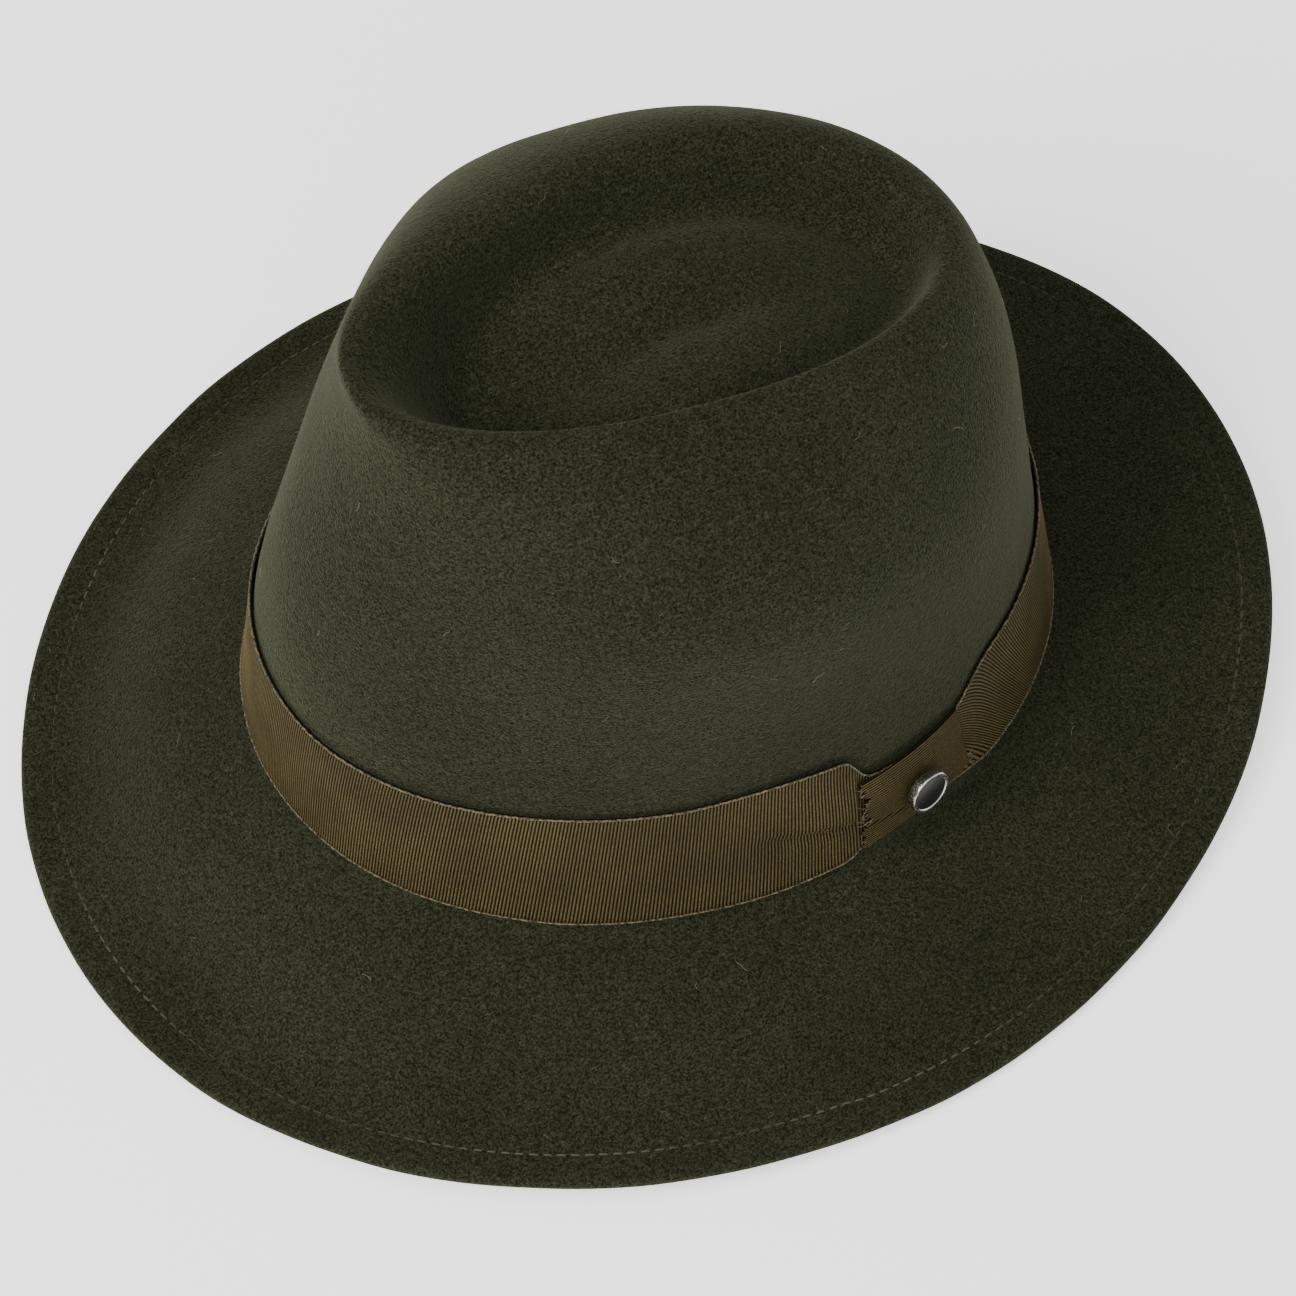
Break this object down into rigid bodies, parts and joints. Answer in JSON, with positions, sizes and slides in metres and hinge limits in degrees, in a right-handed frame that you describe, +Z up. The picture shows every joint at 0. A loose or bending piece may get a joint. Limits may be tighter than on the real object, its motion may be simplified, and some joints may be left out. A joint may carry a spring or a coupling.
{
  "type": "felt hat",
  "caption": "Felt hat with a teardrop crown, a dipped brim with a turned-under stitched edge, a ribbon band and a small round metal pin.",
  "frame": {"origin": "centre of the footprint on the surface that the hat rests on", "axes": "+Z up, -Y towards the hat's front, +X towards the wearer's left, where the ribbon's knot is"},
  "size_m": [0.2748, 0.3242, 0.166],
  "materials": {
    "felt": "brushed wool felt",
    "ribbon": "ribbed grosgrain",
    "pin_metal": "dark nickel"
  },
  "bodies": {
    "root": {"felt_body": "felt", "hat_band": "ribbon", "band_knot": "ribbon", "pin_stud": "pin_metal"}
  },
  "joints": []
}
